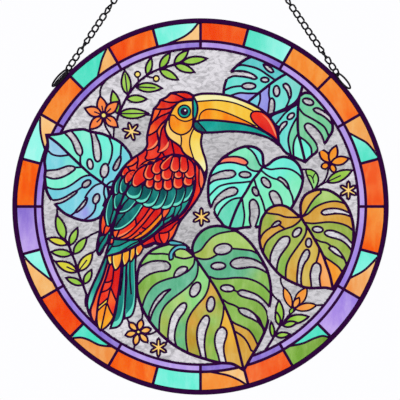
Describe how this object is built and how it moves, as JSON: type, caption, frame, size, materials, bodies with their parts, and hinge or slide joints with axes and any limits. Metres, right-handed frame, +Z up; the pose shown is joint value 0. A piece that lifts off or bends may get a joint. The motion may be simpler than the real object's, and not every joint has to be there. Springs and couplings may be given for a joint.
{
  "type": "stained glass window",
  "caption": "Round leaded stained glass panel: a toucan among tropical leaves inside a border of coloured tiles, in a thin metal rim, hung by a chain from a top ring.",
  "frame": {"origin": "inside top of the top ring, where a hook or a nail holds the panel up", "axes": "the panel stands in the XZ plane: +X to the viewer's right, +Z up, and the front face looks along -Y"},
  "size_m": [0.3, 0.0084, 0.4249],
  "materials": {
    "lead": "soldered lead with a dark purple-black patina, softly shining",
    "wire": "blackened wire, satin",
    "red_orange_glass": "streaky art glass, glossy, lightly rippled",
    "orange_glass": "streaky art glass, glossy, lightly rippled",
    "aqua_glass": "streaky art glass, glossy, lightly rippled",
    "peach_glass": "streaky art glass, glossy, lightly rippled",
    "purple_glass": "streaky art glass, glossy, lightly rippled",
    "green_glass": "streaky art glass, glossy, lightly rippled",
    "lavender_glass": "streaky art glass, glossy, lightly rippled",
    "clear_glass": "clear hammered glass",
    "red_glass": "streaky art glass, glossy, lightly rippled",
    "yellow_glass": "streaky art glass, glossy, lightly rippled",
    "teal_glass": "streaky art glass, glossy, lightly rippled",
    "turquoise_glass": "streaky art glass, glossy, lightly rippled",
    "jade_glass": "streaky art glass, glossy, lightly rippled",
    "leaf_glass": "streaky art glass, glossy, lightly rippled",
    "moss_glass": "streaky art glass, glossy, lightly rippled"
  },
  "bodies": {
    "root": {"rim": "lead", "leadwork": "lead", "border_pane_01": "red_orange_glass", "border_pane_02": "aqua_glass", "border_pane_03": "orange_glass", "border_pane_04": "orange_glass", "border_pane_05": "peach_glass", "border_pane_06": "red_orange_glass", "border_pane_07": "orange_glass", "border_pane_08": "peach_glass", "border_pane_09": "purple_glass", "border_pane_10": "green_glass", "border_pane_11": "red_orange_glass", "border_pane_12": "orange_glass", "border_pane_13": "aqua_glass", "border_pane_14": "orange_glass", "border_pane_15": "peach_glass", "border_pane_16": "red_orange_glass", "border_pane_17": "peach_glass", "border_pane_18": "purple_glass", "border_pane_19": "red_orange_glass", "border_pane_20": "aqua_glass", "border_pane_21": "orange_glass", "border_pane_22": "aqua_glass", "border_pane_23": "orange_glass", "border_pane_24": "aqua_glass", "ring_pane_01": "lavender_glass", "ring_pane_02": "lavender_glass", "ring_pane_03": "lavender_glass", "ring_pane_04": "lavender_glass", "ring_pane_05": "lavender_glass", "ring_pane_06": "lavender_glass", "ring_pane_07": "lavender_glass", "ring_pane_08": "lavender_glass", "ring_pane_09": "lavender_glass", "ring_pane_10": "lavender_glass", "ring_pane_11": "lavender_glass", "ring_pane_12": "lavender_glass", "leaf_top": "turquoise_glass", "leaf_upper_right": "jade_glass", "leaf_left": "turquoise_glass", "leaf_centre": "turquoise_glass", "leaf_right": "moss_glass", "leaf_bottom": "leaf_glass", "toucan_tail": "teal_glass", "toucan_body": "red_glass", "toucan_face": "yellow_glass", "beak_lower": "teal_glass", "beak_upper": "yellow_glass", "toucan_wing": "red_glass", "background_top": "clear_glass", "background_right": "clear_glass", "background_left": "clear_glass", "background_bottom": "clear_glass", "background_lower_right": "clear_glass", "hanging_loop_left": "wire", "hanging_loop_right": "wire", "chain_left": "wire", "chain_right": "wire", "top_ring": "wire"}
  },
  "joints": []
}
